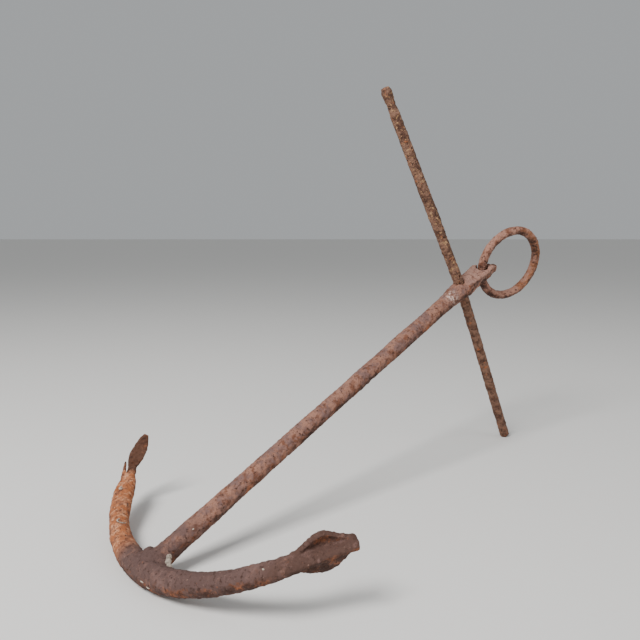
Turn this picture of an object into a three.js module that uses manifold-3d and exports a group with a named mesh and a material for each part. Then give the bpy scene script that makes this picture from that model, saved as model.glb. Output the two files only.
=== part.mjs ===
// Barnacled anchor: one forging (shank, crown, two arms, flukes and eyed head), a thin stock and a ring.
// Millimetres, +Z up. Each piece is drawn in the anchor's own frame and then laid in its resting pose:
// X runs up the shank from the crown to the eye, Y towards the arm with the torn fluke, Z up the stock.
import * as THREE from "three";
import { mergeVertices } from "three/addons/utils/BufferGeometryUtils.js";
import Module from "manifold-3d";

// Shank
const SHANK_REACH = 490; // crown centre line to the stock hole
const SHANK_D = 18.6;
const SHANK_D_WAIST = 17.6; // thinnest, about a third of the way up
const BOSS_W = 25; // head across the stock hole
const BOSS_T = 20.5;

// Head and eye, rolled about the shank so its flat looks to the near side
const HEAD_ROLL = THREE.MathUtils.degToRad(22);
const HEAD_W = 24.5;
const HEAD_T = 12.5;
const EYE_AT = 540;
const EYE_D = 15.6;
const EYE_WEB = 5.2; // metal left beyond the eye
const TANG_END = 562; // broken tang on the near cheek
const TANG_W = 7.5;
const TANG_T = 9;

// Arms: each centre line is a quarter-ellipse arc leaving the crown square to the shank
const CROWN_D = 21.5;
const FAR_ARM = { side: 1, span: 235, rise: 317, sweep: 0.69, lift: 0.015 };
const NEAR_ARM = { side: -1, span: 227, rise: 343, sweep: 0.78, lift: 0.063 };
const ARM_D_MID = 17.2;
const ARM_D_END = 10.5;

// Near fluke: a spade-shaped palm with its wings turned in towards the shank
const NEAR_TIP = [104, -154, -1];
const PALM_FROM = 0.55; // start of the palm along the arm, in the arc's own angle
const PALM_L = 65;
const PALM_HALF = 18.5;
const PALM_T = 4.8;
const PALM_SAG = 3.5; // the palm hangs this much lower than its rib
const PALM_SEAT = 2.5; // and lies this far inside it
const WING_UP_DISH = 6.5;
const WING_DOWN_DISH = 5;

// Far fluke: what is left of it, the arm's flattened end, a leaf of plate and a splinter
const TORN_OUT = 10.4; // half width of the arm's end, in the plane of the arms
const TORN_NECK = 4.6;
const TORN_UP = 4.2;
const LEAF_WAY = [0.77, -0.05, 0.61];
const LEAF_SIDE = [0.652, -0.697, -0.298];
const LEAF_L = 42;
const LEAF_W = 14;
const LEAF_T = 4.2;
const LEAF_TWIST = THREE.MathUtils.degToRad(24);
const SPLINTER_WAY = [0.66, 0.14, 0.74];
const SPLINTER_L = 19;

// Stock
const STOCK_D = 12.2;
const STOCK_UP = 260; // hole to the knobbed end
const STOCK_DOWN = 238; // hole to the foot
const STOCK_NECK = 21; // neck below the knob
const STOCK_HOLE_D = 13.6;
const STOCK_UP_LEAN = [-0.061, 0.058]; // tan of the lean along X and along Y, above the shank
const STOCK_DOWN_LEAN = [-0.047, -0.015]; // and below it
const FORELOCK_D = 3.2;
const FORELOCK_UP = 19;

// Ring
const RING_R = 45.6; // centre line
const RING_BAR = 10.6;
const RING_OVAL = 0.025;
const RING_NORMAL = [0.356, 0.92, 0.169];
const RING_OUT = [0.92, -0.318, -0.219]; // from the eye towards the ring's centre
const RING_SEAT = 0.4; // the bar lies this far out of the eye's centre, near its outer web

// Resting pose
const HEADING = THREE.MathUtils.degToRad(44.2);
const PITCH_UP = THREE.MathUtils.degToRad(24.578);
const ROLL = THREE.MathUtils.degToRad(-2.5);
const CROWN_WEAR = 1.1; // depth worn off under the crown where it stands
const FOOT_WEAR = 0.5;

const wasm = await Module();
wasm.setup();
const { Manifold, Mesh } = wasm;
const V = (x, y, z) => new THREE.Vector3(x, y, z);
const mix = THREE.MathUtils.lerp;
const ease = (x, a, b) => THREE.MathUtils.smoothstep(x, a, b);

// A closed three.js geometry as a solid that can be joined and cut.
function solid(geometry) {
  const plain = new THREE.BufferGeometry();
  plain.setAttribute("position", geometry.getAttribute("position"));
  plain.setIndex(geometry.getIndex());
  const merged = mergeVertices(plain, 1e-4);
  return new Manifold(
    new Mesh({
      numProp: 3,
      vertProperties: new Float32Array(merged.getAttribute("position").array),
      triVerts: new Uint32Array(merged.getIndex().array),
    }),
  );
}

// A bar that follows at(u), u from 0 to 1: section(u) is its two half sizes, side(u) where the first points.
function bar(at, side, section, steps, sides = 20) {
  const g = new THREE.CylinderGeometry(1, 1, 1, sides, steps);
  const p = g.getAttribute("position");
  for (let i = 0; i < p.count; i++) {
    const u = p.getY(i) + 0.5;
    const along = at(Math.min(u + 1e-3, 1)).sub(at(Math.max(u - 1e-3, 0))).normalize();
    const wide = side(u).addScaledVector(along, -side(u).dot(along)).normalize();
    const deep = wide.clone().cross(along);
    const [a, b] = section(u);
    const q = at(u).addScaledVector(wide, a * p.getX(i)).addScaledVector(deep, b * p.getZ(i));
    p.setXYZ(i, q.x, q.y, q.z);
  }
  return solid(g);
}

// A plate drawn flat from an outline, then bent: place(x, y, z) carries each point to where it belongs.
function plate(outline, thick, place) {
  const shape = new THREE.Shape();
  outline.forEach(([x, y], i) => (i ? shape.lineTo(x, y) : shape.moveTo(x, y)));
  const g = new THREE.ExtrudeGeometry(shape, { depth: thick, bevelEnabled: false, steps: 1 });
  const p = g.getAttribute("position");
  for (let i = 0; i < p.count; i++) {
    const q = place(p.getX(i), p.getY(i), p.getZ(i) - thick / 2);
    p.setXYZ(i, q.x, q.y, q.z);
  }
  return solid(g);
}

// A round hole or peg of diameter d centred on c, along direction n.
function peg(c, n, d, length, sides = 32) {
  const g = new THREE.CylinderGeometry(d / 2, d / 2, length, sides);
  g.applyQuaternion(new THREE.Quaternion().setFromUnitVectors(V(0, 1, 0), n.clone().normalize()));
  return solid(g.translate(c.x, c.y, c.z));
}

// Directions across the head: W along its flat, N square to it.
const headW = V(0, Math.cos(HEAD_ROLL), Math.sin(HEAD_ROLL));
const headN = V(0, -Math.sin(HEAD_ROLL), Math.cos(HEAD_ROLL));

// Shank: round bar, slightly waisted, swelling to the boss round the stock hole.
function shank() {
  const end = SHANK_REACH + 22;
  const section = (u) => {
    const x = u * end;
    const round = mix(SHANK_D, SHANK_D_WAIST, ease(x, 0, 160) * (1 - ease(x, 220, 420))) / 2;
    const swell = ease(x, SHANK_REACH - 40, SHANK_REACH - 8) * (1 - ease(x, SHANK_REACH + 8, end));
    return [mix(round, BOSS_W / 2, swell), mix(round, BOSS_T / 2, swell)];
  };
  return bar((u) => V(u * end, 0, 0), () => headW.clone(), section, 40, 24);
}

// Head: flattened bar from the boss to just past the eye, and the broken tang on its near cheek.
function head() {
  const from = SHANK_REACH + 4;
  const to = EYE_AT + EYE_D / 2 + EYE_WEB;
  const flat = bar(
    (u) => V(mix(from, to, u), 0, 0),
    () => headW.clone(),
    (u) => {
      const cheek = mix(0.88, 1, ease(u, 0.2, 0.75)) * (1 - 0.45 * ease(u, 0.86, 1));
      return [(HEAD_W / 2) * 1.08 * cheek, (mix(BOSS_T * 0.86, HEAD_T, ease(u, 0, 0.55)) / 2) * 1.1];
    },
    14,
    8,
  );
  const out = -(HEAD_W - TANG_W) / 2;
  const tang = bar(
    (u) => {
      const x = mix(EYE_AT - 4, TANG_END, u);
      return V(x, 0, -3.2 * u * u).addScaledVector(headW, out + 2.2 * u);
    },
    () => headW.clone(),
    (u) => [(TANG_W / 2) * mix(1.2, 0.95, u), (TANG_T / 2) * mix(1.3, 1.0, u)],
    6,
    8,
  );
  return flat.add(tang).subtract(peg(V(EYE_AT, 0, 0), headN, EYE_D, 40));
}

// A point on an arm's centre line at arc angle f, and the direction of travel there. Past the palm's
// start the near arm runs straight on to its tip.
const arcAt = ({ side, span, rise, lift }, f) =>
  V(rise * (1 - Math.cos(f)), side * span * Math.sin(f), span * Math.sin(f) * lift * Math.min(1, f * 2));
const armAt = (arm, f) => {
  if (arm === FAR_ARM) return arcAt(arm, f).addScaledVector(V(0.66, -0.75, 0), 1.5 * ease(f, 0.38, 0.5));
  const k = Math.max(0, (f - PALM_FROM) / (NEAR_ARM.sweep - PALM_FROM));
  return arcAt(arm, Math.min(f, PALM_FROM)).lerp(V(...NEAR_TIP), k);
};
const armDir = (arm, f) => armAt(arm, f + 1e-3).sub(armAt(arm, f - 1e-3)).normalize();

// Crown and arms: one tapering curved bar from the near arm's end, through the crown, to the far arm's.
function arms() {
  const f0 = NEAR_ARM.sweep;
  const f1 = FAR_ARM.sweep;
  const at = (u) => {
    const f = mix(-f0, f1, u);
    return armAt(f < 0 ? NEAR_ARM : FAR_ARM, Math.abs(f));
  };
  const section = (u) => {
    const g = mix(-f0, f1, u);
    const f = Math.abs(g);
    const r = mix(CROWN_D, ARM_D_MID, ease(f, 0.05, 0.42)) / 2;
    if (g < 0) return [mix(r, ARM_D_END / 2, ease(f, 0.42, 0.76)), mix(r, ARM_D_END / 2, ease(f, 0.46, 0.76))];
    const out = mix(mix(r, TORN_OUT, ease(f, 0.34, 0.52)), TORN_NECK, ease(f, 0.6, 0.675));
    return [mix(r, TORN_UP, ease(f, 0.5, 0.69)), out];
  };
  return bar(at, () => V(0, 0, 1), section, 56, 22);
}

// Palm outline: x from its root to its tip, y across; the wings come to their widest past the middle.
function palmOutline() {
  const half = [[0, 0.28], [0.14, 0.36], [0.29, 0.55], [0.43, 0.82], [0.57, 1], [0.71, 0.88],
    [0.86, 0.6], [0.95, 0.42], [1, 0.24]];
  const up = half.map(([x, y]) => [x * PALM_L, y * PALM_HALF]);
  const down = half.map(([x, y]) => [x * PALM_L, -y * PALM_HALF]).reverse();
  return [...up, ...down].reverse();
}

// The wings bend in to their dish, +y being the lower one, and the lower one draws in as it curls.
function palm() {
  const root = armAt(NEAR_ARM, PALM_FROM);
  const along = V(...NEAR_TIP).sub(root).normalize();
  const across = V(0, 0, -1);
  const inward = along.clone().cross(across); // towards the shank's side
  return plate(palmOutline(), PALM_T, (x, y, z) => {
    const w = y / PALM_HALF;
    const bend = (y > 0 ? WING_DOWN_DISH : WING_UP_DISH) * w * w + 5 * (x / PALM_L - 0.5) ** 2;
    const low = PALM_SAG * Math.sin((Math.PI * x) / PALM_L) - (y > 0 ? 0.16 * y * w * w : 0);
    return root.clone().addScaledVector(along, x).addScaledVector(across, y + low)
      .addScaledVector(inward, bend + z + PALM_SEAT);
  });
}

// Remains of the far fluke: a leaf of plate standing on a narrow neck, and the splinter beside it.
function tornFluke() {
  const root = armAt(FAR_ARM, FAR_ARM.sweep);
  const along = V(...LEAF_WAY).normalize();
  const across = V(...LEAF_SIDE);
  across.addScaledVector(along, -across.dot(along)).normalize();
  const outline = [[0, -0.34], [0.2, -0.36], [0.36, -0.52], [0.6, -0.5], [0.8, -0.3], [1, 0.14], [0.96, 0.36],
    [0.8, 0.5], [0.55, 0.52], [0.36, 0.42], [0.2, 0.26], [0, 0.3]];
  const leaf = plate(
    outline.map(([x, y]) => [x * LEAF_L, y * LEAF_W]),
    LEAF_T,
    (x, y, z) => {
      const wide = across.clone().applyAxisAngle(along, LEAF_TWIST * (x / LEAF_L - 0.5));
      const deep = along.clone().cross(wide);
      return root.clone().addScaledVector(along, x - 7).addScaledVector(wide, y).addScaledVector(deep, z);
    },
  );
  const base = armAt(FAR_ARM, 0.655).addScaledVector(V(-0.66, 0.75, 0), 4);
  const way = V(...SPLINTER_WAY).normalize();
  const splinter = bar(
    (u) => base.clone().addScaledVector(way, u * SPLINTER_L),
    () => V(0, 1, 0),
    (u) => [mix(3.4, 0.9, u), mix(2.8, 0.8, u)],
    4,
    8,
  );
  return leaf.add(splinter);
}

const leanTop = V(STOCK_UP_LEAN[0], STOCK_UP_LEAN[1], 1).normalize();
const leanFoot = V(-STOCK_DOWN_LEAN[0], -STOCK_DOWN_LEAN[1], -1).normalize();
const hub = V(SHANK_REACH, 0, 0);

// Stock: bent rod with a worn knob on top of a neck, a plain foot and the forelock hole above the shank.
function stock() {
  const foot = hub.clone().addScaledVector(leanFoot, STOCK_DOWN);
  const top = hub.clone().addScaledVector(leanTop, STOCK_UP);
  const total = STOCK_UP + STOCK_DOWN;
  const path = new THREE.CatmullRomCurve3(
    [foot, hub.clone().addScaledVector(leanFoot, STOCK_DOWN / 2), hub.clone().addScaledVector(leanFoot, 14),
      hub.clone().addScaledVector(leanTop, 14), hub.clone().addScaledVector(leanTop, STOCK_UP / 2), top],
    false,
    "centripetal",
  );
  const section = (u) => {
    const below = (1 - u) * total; // distance down from the knobbed end
    const neck = 1 - 0.17 * (1 - ease(Math.abs(below - STOCK_NECK), 2, 16));
    const knob = below < 8 ? mix(0.8, 0.97, ease(below, 0, 4)) : 1;
    const swell = 1 + 0.07 * Math.exp(-(((u - 0.745) / 0.08) ** 2)) +
      0.05 * Math.exp(-((((1 - u) * total - STOCK_UP + FORELOCK_UP) / 9) ** 2));
    const r = (STOCK_D / 2) * neck * knob * swell;
    return [r, r];
  };
  const rod = bar((u) => path.getPointAt(u), () => V(1, 0, 0), section, 70, 18);
  const hole = hub.clone().addScaledVector(leanTop, FORELOCK_UP);
  return rod.subtract(peg(hole, V(0.1, 1, 0), FORELOCK_D, 30, 12));
}

// Ring: round bar closed on itself, a little out of round.
function ring() {
  const n = V(...RING_NORMAL).normalize();
  const out = V(...RING_OUT);
  out.addScaledVector(n, -out.dot(n)).normalize();
  const seat = V(EYE_AT, 0, 0).addScaledVector(out, RING_SEAT);
  const centre = seat.addScaledVector(out, RING_R);
  const g = new THREE.TorusGeometry(RING_R, RING_BAR / 2, 16, 64);
  g.scale(1, 1 - RING_OVAL, 1);
  const frame = new THREE.Matrix4().makeBasis(out, n.clone().cross(out), n).setPosition(centre);
  return solid(g.applyMatrix4(frame));
}

// The resting pose, then the wear flats where crown and foot stand on the ground.
const rest = new THREE.Matrix4().makeRotationZ(HEADING)
  .multiply(new THREE.Matrix4().makeRotationY(-PITCH_UP))
  .multiply(new THREE.Matrix4().makeRotationX(ROLL));
const laid = (s) => s.transform(rest.elements);

const throughHole = peg(hub, V(-0.054, 0.022, 1), STOCK_HOLE_D, 60);
let forging = laid(
  Manifold.union([shank(), arms(), palm(), tornFluke()]).add(head()).subtract(throughHole)
    .subtract(peg(V(EYE_AT, 0, 0), headN, EYE_D, 40)),
);
let rod = laid(stock());
const hoop = laid(ring());

// Ground plane: the crown and the foot both reach it, each losing its own wear depth.
function grounded(piece, wear) {
  const low = piece.boundingBox().min[2] + wear;
  const slab = new THREE.BoxGeometry(3000, 3000, 100).translate(0, 0, low - 50);
  return piece.subtract(solid(slab));
}
forging = grounded(forging, CROWN_WEAR);
rod = grounded(rod, FOOT_WEAR);

// Origin under the middle of the object's box, on the ground.
const box = new THREE.Box3();
for (const s of [forging, rod, hoop]) {
  const b = s.boundingBox();
  box.expandByPoint(V(...b.min)).expandByPoint(V(...b.max));
}
const shift = [-(box.min.x + box.max.x) / 2, -(box.min.y + box.max.y) / 2, -box.min.z];

function mesh(name, piece, colour) {
  const m = piece.translate(shift).simplify(0.01).getMesh();
  const g = new THREE.BufferGeometry();
  g.setAttribute("position", new THREE.BufferAttribute(new Float32Array(m.vertProperties), 3));
  g.setIndex(new THREE.BufferAttribute(new Uint32Array(m.triVerts), 1));
  g.computeVertexNormals();
  const rust = new THREE.MeshStandardMaterial({ color: colour, metalness: 0.25, roughness: 0.9 });
  const made = new THREE.Mesh(g, rust);
  made.name = name;
  return made;
}

const anchor = new THREE.Group();
anchor.name = "barnacled_anchor";
anchor.add(
  mesh("forging", forging, 0x6f4a3a),
  mesh("stock", rod, 0x5d4030),
  mesh("ring", hoop, 0x8a5c46),
);
export default anchor;
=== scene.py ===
import math
import random

import bmesh
import bpy
from mathutils import Matrix, Vector


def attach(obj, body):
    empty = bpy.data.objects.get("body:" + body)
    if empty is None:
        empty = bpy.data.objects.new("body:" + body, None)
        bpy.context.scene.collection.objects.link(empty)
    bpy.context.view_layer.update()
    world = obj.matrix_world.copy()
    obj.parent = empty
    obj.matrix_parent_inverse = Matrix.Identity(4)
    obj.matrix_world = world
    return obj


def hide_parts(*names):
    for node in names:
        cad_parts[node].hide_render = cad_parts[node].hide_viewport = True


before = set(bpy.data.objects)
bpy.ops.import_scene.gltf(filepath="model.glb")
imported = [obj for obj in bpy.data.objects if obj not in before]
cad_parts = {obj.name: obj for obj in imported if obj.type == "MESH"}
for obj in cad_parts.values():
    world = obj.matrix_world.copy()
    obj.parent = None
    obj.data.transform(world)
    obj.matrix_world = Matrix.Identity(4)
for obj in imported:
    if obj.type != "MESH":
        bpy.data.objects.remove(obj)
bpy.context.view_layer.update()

# ---- Where it is seen from ----
# From close by, two thirds of the anchor's height up and looking a little down, with a
# moderately wide lens. The shank runs away to the right.
LOOK_FROM = (-0.0452, -0.6524, 0.2830)
LOOK_DOWN = math.radians(7.72)
LEVEL = math.radians(90)
LENS = 36.0
FILM = 36.0
SIGHT_END = 50
bpy.ops.object.camera_add(location=LOOK_FROM, rotation=(LEVEL - LOOK_DOWN, 0, 0))
camera = bpy.context.object
camera.name = "camera"
camera.data.lens = LENS
camera.data.sensor_width = FILM
camera.data.clip_end = SIGHT_END
bpy.context.scene.camera = camera

# ---- Floor and light ----
# A plain pale floor that runs out of sight, a broad soft lamp high on the left in front,
# a weak one on the right and a pale room all round.
FLOOR_SIZE = 60.0
FLOOR_COLOUR = (0.80, 0.78, 0.75, 1)
FLOOR_ROUGHNESS = 0.9
ROOM_COLOUR = (0.80, 0.83, 0.85, 1)
ROOM_LIGHT = 0.50
KEY_LAMP = {"place": (-0.9, -1.1, 1.7), "aim": (0, 0, 0.15), "size": 0.8, "watts": 54}
FILL_LAMP = {"place": (1.6, -0.7, 0.9), "aim": (0.05, 0, 0.2), "size": 1.2, "watts": 6}

bpy.ops.mesh.primitive_plane_add(size=FLOOR_SIZE)
floor = bpy.context.object
floor.name = "floor"
plaster = bpy.data.materials.new("floor_plaster")
plaster.use_nodes = True
plaster_shader = plaster.node_tree.nodes["Principled BSDF"]
plaster_shader.inputs["Base Color"].default_value = FLOOR_COLOUR
plaster_shader.inputs["Roughness"].default_value = FLOOR_ROUGHNESS
floor.data.materials.append(plaster)

room = bpy.data.worlds.new("room")
room.use_nodes = True
room_light = room.node_tree.nodes["Background"]
room_light.inputs["Color"].default_value = ROOM_COLOUR
room_light.inputs["Strength"].default_value = ROOM_LIGHT
bpy.context.scene.world = room


def soft_lamp(name, place, aim, size, watts):
    """A square soft lamp at a place, turned to the point it lights."""
    turn = (Vector(aim) - Vector(place)).to_track_quat("-Z", "Y").to_euler()
    bpy.ops.object.light_add(type="AREA", location=place, rotation=turn)
    lamp = bpy.context.object
    lamp.name = name
    lamp.data.size = size
    lamp.data.energy = watts


soft_lamp("key_lamp", **KEY_LAMP)
soft_lamp("fill_lamp", **FILL_LAMP)

# ---- Shank ----
# Round wrought bar, a little waisted, swelling into a boss where the stock passes through. All is
# drawn in the anchor's own frame, the shank along X from the crown's centre and the arms in the
# plane of X and Y, and is laid in its resting place last.
MM = 0.001
CROWN_AT = Vector((-0.18765, -0.16305, 0.00994))
POSE = (math.radians(-2.5), math.radians(-24.578), math.radians(44.2))
SHANK_REACH = 490 * MM  # from the crown's centre to the stock
SHANK_END = 512 * MM
SHANK_R = 9.3 * MM
SHANK_R_WAIST = 8.7 * MM
WAIST_THINS = (0, 0.16)
WAIST_FILLS = (0.22, 0.42)
FOOT_SPREAD = 1.18
FOOT_LENGTH = 0.035
BOSS_HALF = (12.6 * MM, 10.4 * MM)
BOSS_RISE = 0.040
BOSS_LEVEL = 0.008
SHANK_CUTS = 40
OFF_TRUE = 0.15  # millimetres
SHANK_UNEVEN = 0.02
HAMMERED = random.Random(7)


def ease(x, a, b):
    """0 below a, 1 above b, smooth between."""
    k = min(max((x - a) / (b - a), 0), 1)
    return k * k * (3 - 2 * k)


def mix(a, b, k):
    return a + (b - a) * k


def off_true():
    """A small step to one side, as a hammer leaves it."""
    return HAMMERED.uniform(-OFF_TRUE, OFF_TRUE) * MM


def uneven(share):
    """A factor within a share of 1."""
    return HAMMERED.uniform(1 - share, 1 + share)


def only(piece):
    """Makes a piece the one that is selected and worked on."""
    bpy.ops.object.select_all(action="DESELECT")
    piece.select_set(True)
    bpy.context.view_layer.objects.active = piece


def fixed(piece):
    """Applies a piece's place, turn and scale."""
    only(piece)
    bpy.ops.object.transform_apply(location=True, rotation=True, scale=True)


def joined(name, pieces):
    """Makes several pieces one object."""
    only(pieces[0])
    for piece in pieces:
        piece.select_set(True)
    bpy.ops.object.join()
    whole = bpy.context.object
    whole.name = name
    return whole


def square_to(along, side):
    """The turn that stands a flat section square to a direction, its own X nearest to side."""
    z = Vector(along).normalized()
    x = (Vector(side) - z * Vector(side).dot(z)).normalized()
    return Matrix((x, z.cross(x), z)).transposed().to_euler()


def lofted_bar(name, stations, sides=24):
    """A closed bar through stations: a centre, a direction, an axis to the side and two half widths,
    the first along that axis."""
    bar = bpy.data.objects.new(name, bpy.data.meshes.new(name))
    bpy.context.scene.collection.objects.link(bar)
    only(bar)
    bpy.ops.object.mode_set(mode="EDIT")
    for centre, along, side, (wide, deep) in stations:
        bpy.ops.mesh.primitive_circle_add(vertices=sides, radius=wide, fill_type="NOTHING",
                                          location=centre, rotation=square_to(along, side))
        thin = [1 if abs(c) > 0.5 else deep / wide for c in side]
        bpy.ops.transform.resize(value=thin, center_override=centre)
    bpy.ops.mesh.select_all(action="SELECT")
    bpy.ops.mesh.bridge_edge_loops()
    bpy.ops.mesh.select_all(action="SELECT")
    bpy.ops.mesh.fill_holes(sides=0)
    bpy.ops.mesh.select_all(action="SELECT")
    bpy.ops.mesh.normals_make_consistent(inside=False)
    bpy.ops.object.mode_set(mode="OBJECT")
    return bar


def shank_half(x):
    """The shank's two half widths at x."""
    waist = ease(x, *WAIST_THINS) * (1 - ease(x, *WAIST_FILLS))
    bar_half = mix(SHANK_R, SHANK_R_WAIST, waist)
    rise = ease(x, SHANK_REACH - BOSS_RISE, SHANK_REACH - BOSS_LEVEL)
    fall = ease(x, SHANK_REACH + BOSS_LEVEL, SHANK_END)
    spread = mix(FOOT_SPREAD, 1, ease(x, 0, FOOT_LENGTH))
    wide, deep = (mix(bar_half, half, rise * (1 - fall)) for half in BOSS_HALF)
    return wide * spread, deep


shank_stations = []
for i in range(SHANK_CUTS + 1):
    x = i / SHANK_CUTS * SHANK_END
    centre = (x, off_true(), off_true())
    half = [h * uneven(SHANK_UNEVEN) for h in shank_half(x)]
    shank_stations.append((centre, (1, 0, 0), (0, 1, 0), half))
shank = lofted_bar("shank", shank_stations)

# ---- Head and tang ----
# The end of the shank hammered flat past the boss and pierced for the ring. One cheek has
# rusted away beyond the eye, the other stands on as a square-ended tang.
HEAD_FROM = 492 * MM
HEAD_LENGTH = 60 * MM
HEAD_HALF = (12.6 * MM, 7.0 * MM)
HEAD_CUTS = 12
HEAD_EDGE = 2.2 * MM
HEAD_WIDTH = (0.90, 1.0)  # shares of the full width, by the boss and by the eye
HEAD_WIDENS = (0.2, 0.75)
HEAD_THICKNESS = (1.32, 0.93)
HEAD_THINS = (0, 0.55)
END_NARROWED = 0.15
END_NARROWS = (0.86, 1)
HEAD_ROLL = math.radians(22)
SOUND_CUTS = 9  # past this cut the far cheek is rusted away
RUSTED_AWAY = 0.19  # more at each cut
EYE_AT = 540 * MM
EYE_R = 7.6 * MM
EYE_DRILL = 60 * MM
TANG_FROM = 531 * MM
TANG_LENGTH = 32 * MM
TANG_HALF = (4.0 * MM, 4.9 * MM)
TANG_CUTS = 6
TANG_EDGE = 1.1 * MM
TANG_WIDTH = (1.15, 0.92)
TANG_THICKNESS = (1.28, 0.93)
TANG_SIDE = -(HEAD_HALF[0] - TANG_HALF[0])
TANG_SEAT = (0.6 * MM, -0.4 * MM)
TANG_BEND = (1.8 * MM, -3.2 * MM)
STOCK_HOLE_R = 6.3 * MM
STOCK_HOLE_WAY = (-0.054, 0.022, 1)
STOCK_DRILL = 80 * MM
CUT_REACH = 0.5 * MM


def modify(piece, kind, **settings):
    """Puts one modifier on a piece and applies it."""
    only(piece)
    modifier = piece.modifiers.new(kind.lower(), kind)
    for key, value in settings.items():
        setattr(modifier, key, value)
    bpy.ops.object.modifier_apply(modifier=modifier.name)


def cut_away(piece, tool):
    """Takes a tool's shape out of a piece and removes the tool."""
    modify(piece, "BOOLEAN", operation="DIFFERENCE", object=tool, solver="EXACT")
    bpy.data.objects.remove(tool)


def drilled(piece, centre, along, radius, depth):
    """Cuts a round hole through a piece."""
    bpy.ops.mesh.primitive_cylinder_add(vertices=40, radius=radius, depth=depth, location=centre,
                                        rotation=square_to(along, (1, 0.01, 0)))
    cut_away(piece, bpy.context.object)


def pick(piece, test):
    """Selects, in edit mode, the points of a piece that pass a test on their place."""
    bpy.ops.mesh.select_mode(type="VERT")
    bpy.ops.mesh.select_all(action="DESELECT")
    shape = bmesh.from_edit_mesh(piece.data)
    for v in shape.verts:
        v.select_set(test(v.co))
    shape.select_flush(True)
    bmesh.update_edit_mesh(piece.data)


def flat_bar(name, start, length, half, cuts, bevel):
    """A rectangular bar from start along X, cut into even lengths, its long edges dressed round."""
    bpy.ops.mesh.primitive_cube_add(size=1, location=(0, 0, 0))
    bar = bpy.context.object
    bar.name = name
    bar.scale = (length, 2 * half[0], 2 * half[1])
    bar.location = (start[0] + length / 2, start[1], start[2])
    fixed(bar)
    bpy.ops.object.mode_set(mode="EDIT")
    shape = bmesh.from_edit_mesh(bar.data)
    for edge in shape.edges:
        a, b = (v.co for v in edge.verts)
        edge.select_set(abs(a.x - b.x) > length / 2)
    bmesh.update_edit_mesh(bar.data)
    bpy.ops.mesh.bevel(offset=bevel, segments=3)
    for i in range(1, cuts):
        x = start[0] + length * i / cuts
        bpy.ops.mesh.select_all(action="SELECT")
        bpy.ops.mesh.bisect(plane_co=(x, 0, 0), plane_no=(1, 0, 0))
    bpy.ops.object.mode_set(mode="OBJECT")
    return bar


head = flat_bar("head", (HEAD_FROM, 0, 0), HEAD_LENGTH, HEAD_HALF, HEAD_CUTS, HEAD_EDGE)
bpy.ops.object.mode_set(mode="EDIT")
for i in range(HEAD_CUTS + 1):
    x = HEAD_FROM + HEAD_LENGTH * i / HEAD_CUTS
    u = i / HEAD_CUTS
    wide = mix(*HEAD_WIDTH, ease(u, *HEAD_WIDENS)) * (1 - END_NARROWED * ease(u, *END_NARROWS))
    thick = mix(*HEAD_THICKNESS, ease(u, *HEAD_THINS))
    pick(head, lambda co: abs(co.x - x) < CUT_REACH)
    bpy.ops.transform.resize(value=(1, wide, thick), center_override=(x, 0, 0))
    if i > SOUND_CUTS:
        left = 1 - RUSTED_AWAY * (i - SOUND_CUTS)
        bpy.ops.transform.resize(value=(1, left, 1), center_override=(x, -HEAD_HALF[0] * wide, 0))
bpy.ops.object.mode_set(mode="OBJECT")

tang_start = (TANG_FROM, TANG_SIDE + TANG_SEAT[0], TANG_SEAT[1])
tang = flat_bar("tang", tang_start, TANG_LENGTH, TANG_HALF, TANG_CUTS, TANG_EDGE)
bpy.ops.object.mode_set(mode="EDIT")
for i in range(TANG_CUTS + 1):
    x = TANG_FROM + TANG_LENGTH * i / TANG_CUTS
    u = i / TANG_CUTS
    pick(tang, lambda co: abs(co.x - x) < CUT_REACH)
    bpy.ops.transform.resize(value=(1, mix(*TANG_WIDTH, u), mix(*TANG_THICKNESS, u)),
                             center_override=(x, TANG_SIDE, 0))
    bpy.ops.transform.translate(value=(0, TANG_BEND[0] * u, TANG_BEND[1] * u * u))
bpy.ops.object.mode_set(mode="OBJECT")

for part in (head, tang):
    drilled(part, (EYE_AT, 0, 0), (0, 0, 1), EYE_R, EYE_DRILL)
for part in (shank, head, tang):
    part.rotation_euler = (HEAD_ROLL, 0, 0)
    fixed(part)
for part in (shank, head):
    drilled(part, (SHANK_REACH, 0, 0), STOCK_HOLE_WAY, STOCK_HOLE_R, STOCK_DRILL)

# ---- Crown and arms ----
# One bar bent round under the crown into two arms, thickest in the middle. The near arm runs
# on as the rib of its fluke, the far one thins to the tongue its fluke was torn from.
# A place on an arm is given by f, the angle round its arc, and stretches are pairs of them.
FAR_ARM = {"side": 1, "span": 0.235, "rise": 0.317, "sweep": 0.69, "lift": 0.015}
NEAR_ARM = {"side": -1, "span": 0.227, "rise": 0.343, "sweep": 0.78, "lift": 0.063}
NEAR_TIP = Vector((102.2, -152.2, -1.2)) * MM
PALM_FROM = 0.55
FAR_END_IN = Vector((0.66, -0.75, 0)) * 1.5 * MM
FAR_END_BENDS = (0.38, 0.50)
ARM_CUTS = 60
ARM_UNEVEN = 0.025
CROWN_R = 10.75 * MM
ARM_R = 8.6 * MM
ARM_THINS = (0.05, 0.42)
RIB_UP = 3.9 * MM
RIB_UP_THINS = (0.44, 0.68)
RIB_OUT = 5.6 * MM
RIB_OUT_THINS = (0.52, 0.77)
TONGUE_UP = 4.2 * MM
TONGUE_FLATTENS = (0.50, 0.69)
TONGUE_OUT = 10.6 * MM
TONGUE_SPREADS = (0.34, 0.52)
NECK_OUT = 4.6 * MM
NECK_DRAWS_IN = (0.60, 0.675)
HOLLOW_F = 0.585
HOLLOW_UP = 7.9 * MM
HOLLOW_HALF = (15 * MM, 6.0 * MM, 4.4 * MM)
HOLLOW_TURN = (0, 0, math.atan2(0.66, 0.75))


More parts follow.
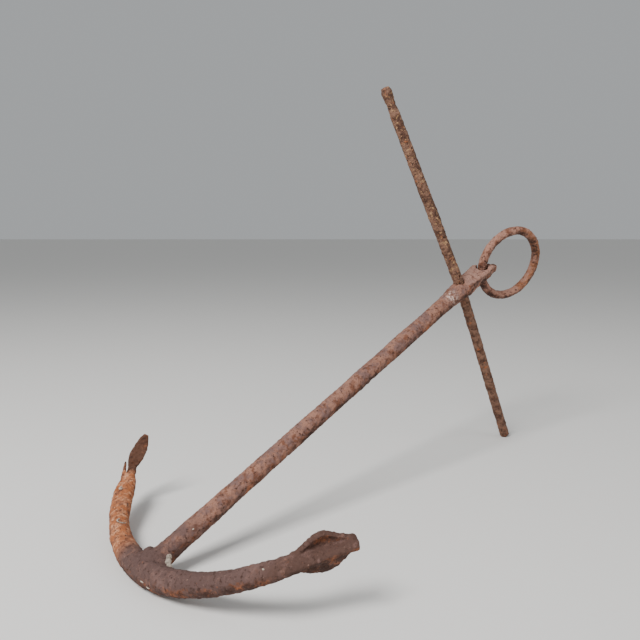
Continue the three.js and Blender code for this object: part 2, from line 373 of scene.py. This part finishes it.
def arm_at(arm, f):
    """The centre of an arm at f. Past its palm's root the near arm is straight."""
    if arm is NEAR_ARM and f > PALM_FROM:
        k = (f - PALM_FROM) / (arm["sweep"] - PALM_FROM)
        return arm_at(arm, PALM_FROM).lerp(NEAR_TIP, k)
    place = Vector((arm["rise"] * (1 - math.cos(f)), arm["side"] * arm["span"] * math.sin(f),
                    arm["span"] * math.sin(f) * arm["lift"] * min(1, f * 2)))
    if arm is FAR_ARM:
        place += FAR_END_IN * ease(f, *FAR_END_BENDS)
    return place


def arm_way(arm, f):
    return (arm_at(arm, f + 1e-3) - arm_at(arm, f - 1e-3)).normalized()


def arm_station(f):
    """A section of the bent bar, on the near arm where f is below 0 and on the far one above it."""
    arm = NEAR_ARM if f < 0 else FAR_ARM
    g = abs(f)
    way = arm_way(arm, g) * (-1 if f < 0 else 1)
    bar_half = mix(CROWN_R, ARM_R, ease(g, *ARM_THINS))
    if f < 0:
        up = mix(bar_half, RIB_UP, ease(g, *RIB_UP_THINS))
        out = mix(bar_half, RIB_OUT, ease(g, *RIB_OUT_THINS))
    else:
        up = mix(bar_half, TONGUE_UP, ease(g, *TONGUE_FLATTENS))
        out = mix(bar_half, TONGUE_OUT, ease(g, *TONGUE_SPREADS))
        out = mix(out, NECK_OUT, ease(g, *NECK_DRAWS_IN))
    rough = uneven(ARM_UNEVEN)
    return arm_at(arm, g), way, (0, 0, 1), (up * rough, out * rough)


arm_run = [mix(-NEAR_ARM["sweep"], FAR_ARM["sweep"], i / ARM_CUTS) for i in range(ARM_CUTS + 1)]
arms = lofted_bar("arms", [arm_station(f) for f in arm_run])


def lump(name, place, half, turn=(0, 0, 0)):
    """A rounded lump with three half widths."""
    bpy.ops.mesh.primitive_ico_sphere_add(subdivisions=4, radius=1, location=place, rotation=turn)
    made = bpy.context.object
    made.name = name
    made.scale = half
    fixed(made)
    return made


# Swellings where the arms were forge-welded to the shank.
weld = [
    lump("weld_near", (10 * MM, -8 * MM, 0), (9 * MM, 6 * MM, 7.0 * MM), (0, 0, -0.7)),
    lump("weld_far", (10 * MM, 9 * MM, 1 * MM), (11 * MM, 6 * MM, 8.0 * MM), (0, 0, 0.8)),
    lump("weld_top", (6 * MM, 1 * MM, 5 * MM), (13 * MM, 9 * MM, 5.6 * MM)),
]

# The far arm's end is eaten hollow on its upper side.
hollow_at = arm_at(FAR_ARM, HOLLOW_F) + Vector((0, 0, HOLLOW_UP))
cut_away(arms, lump("hollow", hollow_at, HOLLOW_HALF, HOLLOW_TURN))

# ---- Near fluke ----
# A spade of plate forged across the arm's end, broadest past its middle, with a blunt worn
# point. The upper wing is dished and its edge rolls back, the lower one turns in a little.
PALM_LENGTH = 62 * MM
PALM_HALF = 18.5 * MM
PALM_PLATE = 4.6 * MM
PALM_WIDTHS = [0.28, 0.31, 0.36, 0.44, 0.55, 0.68, 0.82, 0.94, 1.0, 0.97, 0.84, 0.66, 0.50, 0.36, 0.20]
PALM_SAG = 4.2 * MM
PALM_BOW = 5.0  # millimetres; each end turns in by a quarter of it
PALM_SEAT = 3.6  # millimetres inside the rib's middle
WING_ROWS = 4  # from the rib to each edge
WING_UP = [0, 2.2, 4.4, 4.6, 2.6]  # how far each row turns in, in millimetres
WING_DOWN = [0, 0.4, 1.3, 2.8, 4.6]
WING_DRAWN = -0.10  # the lower wing draws in as it turns
COLUMN_REACH = 1 * MM
ROW_REACH = 0.4 * MM
NOT_MOVED = 0.005 * MM  # a point that has been moved lies further than this from the flat sheet


def spade(name, length, half, widths, rows):
    """A flat sheet along X with its width drawn to an outline, ready to be bent."""
    columns = len(widths) - 1
    bpy.ops.mesh.primitive_grid_add(x_subdivisions=columns, y_subdivisions=rows, size=1)
    sheet = bpy.context.object
    sheet.name = name
    sheet.scale = (length, 2 * half, 1)
    sheet.location = (length / 2, 0, 0)
    fixed(sheet)
    bpy.ops.object.mode_set(mode="EDIT")
    for i, width in enumerate(widths):
        x = length * i / columns
        pick(sheet, lambda co: abs(co.x - x) < length / columns / 3)
        bpy.ops.transform.resize(value=(1, width, 1), center_override=(x, 0, 0))
    bpy.ops.object.mode_set(mode="OBJECT")
    return sheet


def thickened(sheet, plate):
    """Rounds a bent sheet and gives it its thickness."""
    modify(sheet, "SUBSURF", levels=2, render_levels=2)
    modify(sheet, "SOLIDIFY", thickness=plate, offset=0)


def stood(piece, place, *axes):
    """Stands a piece at a place, its X, Y and Z along three given directions."""
    piece.matrix_world = Matrix.Translation(place) @ Matrix(axes).transposed().to_4x4()
    fixed(piece)


palm = spade("palm", PALM_LENGTH, PALM_HALF, PALM_WIDTHS, 2 * WING_ROWS)
bpy.ops.object.mode_set(mode="EDIT")
for i, width in enumerate(PALM_WIDTHS):
    x = PALM_LENGTH * i / (len(PALM_WIDTHS) - 1)
    sag = PALM_SAG * math.sin(math.pi * x / PALM_LENGTH)
    bow = PALM_BOW * (x / PALM_LENGTH - 0.5) ** 2
    for row in range(-WING_ROWS, WING_ROWS + 1):
        y = row / WING_ROWS * PALM_HALF * width
        fold = (WING_DOWN if row > 0 else WING_UP)[abs(row)] * width ** 2
        narrow = WING_DRAWN * y * (abs(row) / WING_ROWS) ** 2 if row > 0 else 0
        pick(palm, lambda co: (abs(co.x - x) < COLUMN_REACH and abs(co.y - y) < ROW_REACH
                               and abs(co.z) < NOT_MOVED))
        bpy.ops.transform.translate(value=(0, narrow + sag, (fold + bow) * MM + 2 * NOT_MOVED))
bpy.ops.object.mode_set(mode="OBJECT")
thickened(palm, PALM_PLATE)

palm_root = arm_at(NEAR_ARM, PALM_FROM)
palm_along = (arm_at(NEAR_ARM, NEAR_ARM["sweep"]) - palm_root).normalized()
palm_up = (Vector((0, 0, 1)) - palm_along * palm_along.z).normalized()
palm_inward = palm_up.cross(palm_along)
stood(palm, palm_root + palm_inward * PALM_SEAT * MM,
      palm_along, palm_inward.cross(palm_along), palm_inward)

# ---- Torn far fluke ----
# What is left of the other fluke: a scrap of plate standing on a rusted-through neck, twisted
# edge-on, and a splinter beside it.
LEAF_LENGTH = 48 * MM
LEAF_HALF = 7.6 * MM
LEAF_PLATE = 3.6 * MM
LEAF_WIDTHS = [0.62, 0.56, 0.50, 0.56, 0.80, 0.96, 1.0, 0.98, 0.90, 0.78, 0.58, 0.30]
LEAF_ROWS = 6
LEAF_LEAN = (-1.2, 2.6)  # millimetres to the side, at its root and at its tip
LEAF_LEANS = (3, 11)  # columns
LEAF_RIPPLE = 1.3 * MM
LEAF_RIPPLE_STEP = 0.9
LEAF_TWIST = math.radians(24)
LEAF_WAY = Vector((0.74, 0.0, 0.67)).normalized()
LEAF_SIDE = Vector((0.652, -0.697, -0.298))
LEAF_SEAT = 9  # millimetres down into the neck
SPLINTER_WAY = Vector((0.66, 0.14, 0.74)).normalized()
SPLINTER_F = 0.635
SPLINTER_OUT = Vector((-0.66, 0.75, 0)) * 6.5 * MM
SPLINTER_HALF = ((0, 3.4, 2.8), (5, 3.0, 2.4), (10, 2.4, 1.9), (15, 1.7, 1.4), (20, 1.0, 0.9))

leaf = spade("leaf", LEAF_LENGTH, LEAF_HALF, LEAF_WIDTHS, LEAF_ROWS)
bpy.ops.object.mode_set(mode="EDIT")
for i in range(len(LEAF_WIDTHS)):
    x = LEAF_LENGTH * i / (len(LEAF_WIDTHS) - 1)
    lean = mix(*LEAF_LEAN, ease(i, *LEAF_LEANS)) * MM
    pick(leaf, lambda co: abs(co.x - x) < COLUMN_REACH)
    bpy.ops.transform.translate(value=(0, lean, LEAF_RIPPLE * math.sin(i * LEAF_RIPPLE_STEP)))
bpy.ops.object.mode_set(mode="OBJECT")
thickened(leaf, LEAF_PLATE)
modify(leaf, "SIMPLE_DEFORM", deform_method="TWIST", deform_axis="X", angle=LEAF_TWIST)

leaf_root = arm_at(FAR_ARM, FAR_ARM["sweep"])
leaf_side = (LEAF_SIDE - LEAF_WAY * LEAF_SIDE.dot(LEAF_WAY)).normalized()
stood(leaf, leaf_root - LEAF_WAY * LEAF_SEAT * MM, LEAF_WAY, leaf_side, LEAF_WAY.cross(leaf_side))

splinter_from = arm_at(FAR_ARM, SPLINTER_F) + SPLINTER_OUT
splinter = lofted_bar("splinter", [
    (splinter_from + SPLINTER_WAY * along * MM, SPLINTER_WAY, (0, 1, 0), (wide * MM, thick * MM))
    for along, wide, thick in SPLINTER_HALF], sides=10)

# ---- The forging made one ----
# All of it is one lump of wrought iron, so the pieces are fused, softened by wear and eaten
# by rust: long hammer waves, coarse scale, and round pits.
FUSE = 0.95 * MM


def eroded(piece, voxel, waves, scale, pits, smooth):
    """Fuses a piece, rounds it, and wears waves, scale and pits into it; each is a size and a depth."""
    modify(piece, "REMESH", mode="VOXEL", voxel_size=voxel, use_smooth_shade=True)
    modify(piece, "SMOOTH", factor=0.5, iterations=smooth)
    for label, (size, depth), kind in (("waves", waves, "CLOUDS"), ("scale", scale, "CLOUDS"),
                                       ("pits", pits, "VORONOI")):
        grain = bpy.data.textures.new(piece.name + "_" + label, kind)
        grain.noise_scale = size
        if kind == "CLOUDS":
            grain.noise_depth = 3
        else:
            grain.distance_metric = "DISTANCE"
        modify(piece, "DISPLACE", texture=grain, texture_coords="LOCAL", direction="NORMAL",
               mid_level=0.5, strength=depth)


def posed(piece):
    """Lays a piece drawn in the anchor's own frame in its resting place."""
    piece.rotation_euler = POSE
    piece.location = CROWN_AT
    fixed(piece)


def grounded(piece):
    """Flattens what would reach below the ground, as a worn foot."""
    for v in piece.data.vertices:
        v.co.z = max(v.co.z, 0)


forging = joined("rusted_forging", [shank, head, tang, arms, palm, leaf, splinter, *weld])
eroded(forging, FUSE, waves=(24 * MM, 1.0 * MM), scale=(4.0 * MM, 0.9 * MM), pits=(3.0 * MM, 0.9 * MM),
       smooth=2)
posed(forging)
grounded(forging)


def wire(tree, kind, inputs=None, out=0, **settings):
    """Adds one node, sets and links its inputs, and gives one of its outputs."""
    made = tree.nodes.new(kind)
    for key, value in settings.items():
        setattr(made, key, value)
    for key, value in (inputs or {}).items():
        if isinstance(value, bpy.types.NodeSocket):
            tree.links.new(value, made.inputs[key])
        else:
            made.inputs[key].default_value = value
    return made.outputs[out]


def shade(red, green, blue):
    """A colour given as screen values out of 255, as the shader wants it."""
    line = [((c / 255 + 0.055) / 1.055) ** 2.4 if c > 10 else c / 255 / 12.92 for c in (red, green, blue)]
    return (*line, 1)


def ramp(tree, value, low, high, to_low=0.0, to_high=1.0):
    """A smooth change from one value below low to another above high."""
    return wire(tree, "ShaderNodeMapRange", {"Value": value, "From Min": low, "From Max": high,
                                             "To Min": to_low, "To Max": to_high},
                interpolation_type="SMOOTHSTEP")


def patches(tree, where, scale, low, high, detail=6, rough=0.75, shift=0.0):
    """A mask of cloudy patches: 0 below low, 1 above high."""
    moved = wire(tree, "ShaderNodeVectorMath", {0: where, 1: (shift, shift * 0.7, -shift)},
                 operation="ADD")
    noise = wire(tree, "ShaderNodeTexNoise", {"Vector": moved, "Scale": scale, "Detail": detail,
                                              "Roughness": rough})
    return ramp(tree, noise, low, high)


def times(tree, a, b):
    return wire(tree, "ShaderNodeMath", {0: a, 1: b}, operation="MULTIPLY")


def coat(tree, below, paint, *masks):
    """Lays a colour over what is below, where every mask is 1."""
    mask = masks[0]
    for other in masks[1:]:
        mask = times(tree, mask, other)
    return wire(tree, "ShaderNodeMix", {0: mask, 6: below, 7: paint}, out=2, data_type="RGBA")


def around(tree, place, point, inside, outside):
    """A mask that is 1 within a distance of a point and 0 past another."""
    far = wire(tree, "ShaderNodeVectorMath", {0: place, 1: point}, out="Value", operation="DISTANCE")
    return ramp(tree, far, inside, outside, 1.0, 0.0)


def rust_start(name):
    """A new material, its nodes, and the place on the piece that every layer of rust is drawn from."""
    material = bpy.data.materials.new(name)
    material.use_nodes = True
    tree = material.node_tree
    tree.nodes["Principled BSDF"].inputs["Specular IOR Level"].default_value = 0.25
    return material, tree, wire(tree, "ShaderNodeTexCoord", out="Object")


def in_anchor(tree, where):
    """The same place in the anchor's own frame."""
    return wire(tree, "ShaderNodeMapping", {"Vector": where, "Location": CROWN_AT, "Rotation": POSE},
                vector_type="TEXTURE")


def part_of(tree, vector, axis):
    """One coordinate of a place or direction."""
    return wire(tree, "ShaderNodeSeparateXYZ", {0: vector}, out="XYZ".index(axis))


def upward(tree):
    """How far the surface faces up, from 1 to -1."""
    return part_of(tree, wire(tree, "ShaderNodeNewGeometry", out="Normal"), "Z")


def rust_finish(tree, where, colour, coarse=330, fine=900, depth=0.8 * MM):
    """Wires colour, a broken roughness and a pitted, flaky bump into the shader."""
    shader = tree.nodes["Principled BSDF"]
    grit = wire(tree, "ShaderNodeTexNoise", {"Vector": where, "Scale": coarse, "Detail": 7,
                                             "Roughness": 0.68})
    cells = wire(tree, "ShaderNodeTexVoronoi", {"Vector": where, "Scale": fine, "Randomness": 1})
    pits = times(tree, ramp(tree, cells, 0.0, 0.55), times(tree, grit, 0.45))
    height = wire(tree, "ShaderNodeMath", {0: grit, 1: pits}, operation="ADD")
    bump = wire(tree, "ShaderNodeBump", {"Strength": 0.9, "Distance": depth, "Height": height})
    rough = ramp(tree, grit, 0.3, 0.7, 0.97, 0.72)
    tree.links.new(colour, shader.inputs["Base Color"])
    tree.links.new(rough, shader.inputs["Roughness"])
    tree.links.new(bump, shader.inputs["Normal"])


PINK_DUST = shade(156, 112, 94)
MAUVE = shade(120, 92, 86)
CROWN_PAINTED_SHADE = shade(92, 70, 65)
TORN_BROWN = shade(92, 62, 48)
HEAD_PINK = shade(166, 127, 112)
PAINTED_HIGHLIGHT = shade(206, 178, 166)
RED_BROWN = shade(116, 74, 56)
DARK_SCALE_AND_SHADE = shade(62, 41, 34)
ORANGE_RUST = shade(166, 98, 60)
BRIGHT_RUST = shade(208, 150, 114)
CHOCOLATE = shade(86, 62, 54)
PALE_FLECK = shade(186, 152, 136)
HEAD_MIDDLE = (0.532, 0, 0)
HIGHLIGHT_SPOT = (0.460, -0.0072, 0.0064)
TORN_MIDDLE = leaf_root + LEAF_WAY * 19 * MM

# Where each colour lies.
material, tree, where = rust_start("forging_rust")
own = in_anchor(tree, where)
up_shank, across = (part_of(tree, own, axis) for axis in "XY")
far_side = times(tree, ramp(tree, across, 0.022, 0.050),
                 patches(tree, where, 45, 0.24, 0.46, detail=5, rough=0.7, shift=0.9))
near_side = ramp(tree, across, -0.004, -0.040)
fluke_side = ramp(tree, across, -0.104, -0.126)
crown_shade_zone = ramp(tree, up_shank, 0.070, 0.020)
by_head = around(tree, own, HEAD_MIDDLE, 0.026, 0.052)
torn = around(tree, own, TORN_MIDDLE, 0.017, 0.024)
shaded_underside = ramp(tree, upward(tree), 0.30, -0.35)
highlight_spot_mask = around(tree, own, HIGHLIGHT_SPOT, 0.003, 0.014)

# The broad zones, from the shank's dust to the fluke's brown.
colour = coat(tree, PINK_DUST, MAUVE, patches(tree, where, 70, 0.42, 0.60))
colour = coat(tree, colour, RED_BROWN, patches(tree, where, 130, 0.50, 0.62, shift=3.1))
colour = coat(tree, colour, MAUVE, near_side, patches(tree, where, 90, 0.34, 0.56, shift=1.7))
# Painted shade: a dark brown laid over the crown, low on the shank by the ground.
colour = coat(tree, colour, CROWN_PAINTED_SHADE, crown_shade_zone, patches(tree, where, 75, 0.26, 0.52, shift=1.1))
colour = coat(tree, colour, HEAD_PINK, by_head, patches(tree, where, 140, 0.36, 0.58, shift=0.4))
colour = coat(tree, colour, ORANGE_RUST, far_side)
colour = coat(tree, colour, BRIGHT_RUST, far_side, patches(tree, where, 130, 0.46, 0.64, shift=6.2))
colour = coat(tree, colour, RED_BROWN, far_side, patches(tree, where, 110, 0.51, 0.60, shift=7.7))
colour = coat(tree, colour, CHOCOLATE, fluke_side, patches(tree, where, 90, 0.28, 0.50, shift=2.2))
colour = coat(tree, colour, TORN_BROWN, torn, patches(tree, where, 110, 0.24, 0.46, shift=1.9))
# On the undersides: patches of orange rust, then painted shade, a dark colour on what faces down.
colour = coat(tree, colour, ORANGE_RUST, shaded_underside, patches(tree, where, 90, 0.46, 0.66, shift=8.2))
colour = coat(tree, colour, DARK_SCALE_AND_SHADE, shaded_underside, patches(tree, where, 80, 0.36, 0.62, shift=9.2))

# Fine stains and flecks everywhere, and a painted highlight: a pale spot below the boss.
colour = coat(tree, colour, ORANGE_RUST, patches(tree, where, 210, 0.63, 0.72, detail=5, shift=2.9))
colour = coat(tree, colour, DARK_SCALE_AND_SHADE, patches(tree, where, 320, 0.535, 0.65, detail=5, shift=4.4))
colour = coat(tree, colour, PALE_FLECK, patches(tree, where, 460, 0.62, 0.76, detail=5, shift=7.4))
colour = coat(tree, colour, PAINTED_HIGHLIGHT, highlight_spot_mask, patches(tree, where, 260, 0.47, 0.58, detail=5, shift=0.2))
rust_finish(tree, where, colour)
forging.data.materials.append(material)
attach(forging, "root")
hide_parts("forging")

# ---- Stock ----
# A slim round rod through the boss, rusted fast in it and bent a little either side. A worn
# knob on a neck keeps its top, the foot is plain, and a pin once went through the small hole.
STOCK_R = 6.1 * MM
STOCK_UP = 260 * MM
STOCK_DOWN = 238 * MM
STOCK_CUTS = 96
STOCK_UNEVEN = 0.04
LEAN_UP = Vector((-0.061, 0.058, 1)).normalized()
LEAN_DOWN = Vector((0.047, 0.015, -1)).normalized()
BEND_REACH = 14 * MM
NECK_BELOW_TOP = 21 * MM
NECK_DEPTH = 0.19
NECK_REACH = (1 * MM, 13 * MM)
KNOB_LENGTH = 8 * MM
KNOB_WIDTH = (0.72, 0.98)  # shares of the full width, at the very top and below it
KNOB_ROUND = 4 * MM
THICKER = 0.08
THICK_AT = 110 * MM
THICK_REACH = 40 * MM
FORELOCK_UP = 19 * MM
FORELOCK_SWELL = 0.07
FORELOCK_REACH = 9 * MM
FORELOCK_R = 1.6 * MM
FORELOCK_DRILL = 40 * MM
HUB = Vector((SHANK_REACH, 0, 0))


def stock_place(h):
    """The rod's centre at a height h above the boss, below it when negative."""
    lean = LEAN_UP * h if h > 0 else LEAN_DOWN * -h
    if abs(h) < BEND_REACH:
        k = (h / BEND_REACH + 1) / 2
        lean = (LEAN_DOWN * BEND_REACH).lerp(LEAN_UP * BEND_REACH, k)
    return HUB + lean


def stock_half(h):
    """The rod's half width: a knob and neck at the top, thicker halfway up and at the small hole."""
    below = STOCK_UP - h
    neck = 1 - NECK_DEPTH * (1 - ease(abs(below - NECK_BELOW_TOP), *NECK_REACH))
    knob = mix(*KNOB_WIDTH, ease(below, 0, KNOB_ROUND)) if below < KNOB_LENGTH else 1
    swell = 1 + THICKER * math.exp(-(((h - THICK_AT) / THICK_REACH) ** 2))
    swell += FORELOCK_SWELL * math.exp(-(((h - FORELOCK_UP) / FORELOCK_REACH) ** 2))
    return STOCK_R * neck * knob * swell


stock_stations = []
for i in range(STOCK_CUTS + 1):
    h = mix(-STOCK_DOWN, STOCK_UP, i / STOCK_CUTS)
    way = (stock_place(h + 2 * MM) - stock_place(h - 2 * MM)).normalized()
    half = (stock_half(h) * uneven(STOCK_UNEVEN), stock_half(h) * uneven(STOCK_UNEVEN))
    stock_stations.append((stock_place(h), way, (1, 0, 0), half))
stock = lofted_bar("rusted_stock", stock_stations, sides=20)
drilled(stock, HUB + LEAN_UP * FORELOCK_UP, (0.1, 1, 0), FORELOCK_R, FORELOCK_DRILL)
eroded(stock, 0.65 * MM, waves=(14 * MM, 0.9 * MM), scale=(3.6 * MM, 1.0 * MM), pits=(2.8 * MM, 0.9 * MM),
       smooth=1)
posed(stock)
grounded(stock)

DARK_ROD = shade(84, 58, 47)
ROD_BROWN = shade(132, 98, 80)
OCHRE = shade(188, 148, 106)
material, tree, where = rust_start("stock_rust")
above = ramp(tree, part_of(tree, in_anchor(tree, where), "Z"), -0.03, 0.05)
colour = coat(tree, ROD_BROWN, DARK_ROD, patches(tree, where, 110, 0.42, 0.60))
colour = coat(tree, colour, ORANGE_RUST, patches(tree, where, 160, 0.57, 0.66, detail=5, shift=2.6))
colour = coat(tree, colour, OCHRE, above, patches(tree, where, 260, 0.55, 0.64, detail=5, shift=3.6))
colour = coat(tree, colour, DARK_SCALE_AND_SHADE, patches(tree, where, 240, 0.53, 0.62, shift=5.6))
colour = coat(tree, colour, PINK_DUST, patches(tree, where, 330, 0.60, 0.70, detail=5, rough=0.7, shift=6.6))
rust_finish(tree, where, colour, 380, 800, 0.7 * MM)
stock.data.materials.append(material)
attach(stock, "root")
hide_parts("stock")

# ---- Ring ----
# Round bar bent to a ring and welded shut, hung through the eye and now rusted fast in it,
# thinned and flattened a little here and there.
RING_R = 45.6 * MM
RING_BAR = 5.5 * MM
RING_FLAT = 0.975
RING_NORMAL = Vector((0.356, 0.92, 0.169)).normalized()
RING_OUT = Vector((0.92, -0.318, -0.219))
RING_SEAT = 0.4 * MM

bpy.ops.mesh.primitive_torus_add(major_segments=72, minor_segments=20, major_radius=RING_R,
                                 minor_radius=RING_BAR)
ring = bpy.context.object
ring.name = "rusted_ring"
ring.scale = (1, RING_FLAT, 1)
fixed(ring)
ring_out = (RING_OUT - RING_NORMAL * RING_OUT.dot(RING_NORMAL)).normalized()
ring_centre = Vector((EYE_AT, 0, 0)) + ring_out * (RING_SEAT + RING_R)
stood(ring, ring_centre, ring_out, RING_NORMAL.cross(ring_out), RING_NORMAL)
eroded(ring, 0.6 * MM, waves=(15 * MM, 1.3 * MM), scale=(4 * MM, 0.8 * MM), pits=(2.8 * MM, 0.7 * MM),
       smooth=1)
posed(ring)

SALMON = shade(166, 122, 105)
RING_ORANGE = shade(150, 96, 64)
material, tree, where = rust_start("ring_rust")
right = ramp(tree, part_of(tree, where, "X"), 0.205, 0.235)
shaded_underside = ramp(tree, upward(tree), 0.1, -0.6)
colour = coat(tree, SALMON, RED_BROWN, patches(tree, where, 95, 0.46, 0.62))
colour = coat(tree, colour, RING_ORANGE, right, patches(tree, where, 90, 0.46, 0.60, detail=5, shift=1.3))
# Painted shade: a dark colour on the ring's downward faces.
colour = coat(tree, colour, DARK_SCALE_AND_SHADE, shaded_underside,
              patches(tree, where, 70, 0.34, 0.56, detail=5, rough=0.7, shift=2.3))
colour = coat(tree, colour, DARK_SCALE_AND_SHADE,
              patches(tree, where, 240, 0.56, 0.66, detail=5, rough=0.72, shift=3.3))
colour = coat(tree, colour, PINK_DUST,
              patches(tree, where, 330, 0.58, 0.70, detail=5, rough=0.72, shift=4.3))
rust_finish(tree, where, colour, 360, 850)
ring.data.materials.append(material)
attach(ring, "root")
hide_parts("ring")

# ---- Remains of growth ----
# What the sea left: two broken rings of lime where barnacles sat on the far arm, a deposit in the
# crotch between shank and near arm, and small crumbs elsewhere. All are fast to the iron.
# Rings: middle in millimetres, way they face, radius in millimetres, angle of bar that is left.
LIME_RINGS = [
    ((21.0, 72.2, 8.2), (0.68, -0.20, 0.71), 4.0, 4.9),
    ((47.9, 118.6, 9.8), (0.27, 0.10, 0.96), 2.4, 4.1),
]
# Lumps: middle and half widths in millimetres. The first three are the deposit in the crotch.
LIME_LUMPS = [
    ((15.5, -13.2, 1.5), (3.4, 2.6, 3.0)),
    ((18.5, -12.4, 3.6), (2.4, 1.8, 2.6)),
    ((14.0, -15.2, -1.5), (2.4, 1.8, 3.2)),
    ((48.2, -7.7, 5.0), (1.1, 0.8, 0.5)),
    ((42.8, -115.1, 14.2), (0.8, 1.2, 0.6)),
    ((-9.0, -13.0, 4.0), (0.7, 3.4, 0.6)),
    ((-9.2, -20.5, 1.4), (0.6, 3.0, 0.6)),
]
LIME_THICK = 0.75 * MM
LIME_CUTS = 16
LIME_UNEVEN = 0.25
LIME_WOBBLE = 0.08
LIME_RUBBED = 0.35


def lime_ring(name, place, facing, radius, arc):
    """A broken ring of lime on the iron: a thin bar bent through most of a turn, its ends rubbed down."""
    facing = Vector(facing).normalized()
    side = facing.orthogonal().normalized()
    over = facing.cross(side)
    stations = []
    for i in range(LIME_CUTS + 1):
        turn = arc * i / LIME_CUTS
        out = side * math.cos(turn) + over * math.sin(turn)
        wobble = 1 + LIME_WOBBLE * math.sin(3 * turn)
        rubbed = mix(LIME_RUBBED, 1, ease(math.sin(math.pi * i / LIME_CUTS), 0, 0.5))
        thin = LIME_THICK * rubbed * uneven(LIME_UNEVEN)
        stations.append((Vector(place) * MM + out * radius * wobble * MM, facing.cross(out), facing,
                         (thin, thin)))
    return lofted_bar(name, stations, sides=10)


crust = [lime_ring(f"lime_ring_{i}", *values) for i, values in enumerate(LIME_RINGS)]
crust += [lump(f"lime_lump_{i}", Vector(place) * MM, Vector(half) * MM)
          for i, (place, half) in enumerate(LIME_LUMPS)]
lime = joined("lime_remains", crust)
eroded(lime, 0.3 * MM, waves=(4 * MM, 0.5 * MM), scale=(1.6 * MM, 0.7 * MM), pits=(1.5 * MM, 0.5 * MM),
       smooth=1)
posed(lime)

LIME_PALE = shade(190, 176, 160)
LIME_GREY = shade(150, 138, 126)
material, tree, where = rust_start("lime_crust")
colour = coat(tree, LIME_PALE, LIME_GREY, patches(tree, where, 220, 0.42, 0.6, detail=5, rough=0.7))
colour = coat(tree, colour, RED_BROWN, patches(tree, where, 420, 0.55, 0.66, detail=5, shift=1.4))
rust_finish(tree, where, colour, 700, 1500, 0.3 * MM)
lime.data.materials.append(material)
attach(lime, "root")
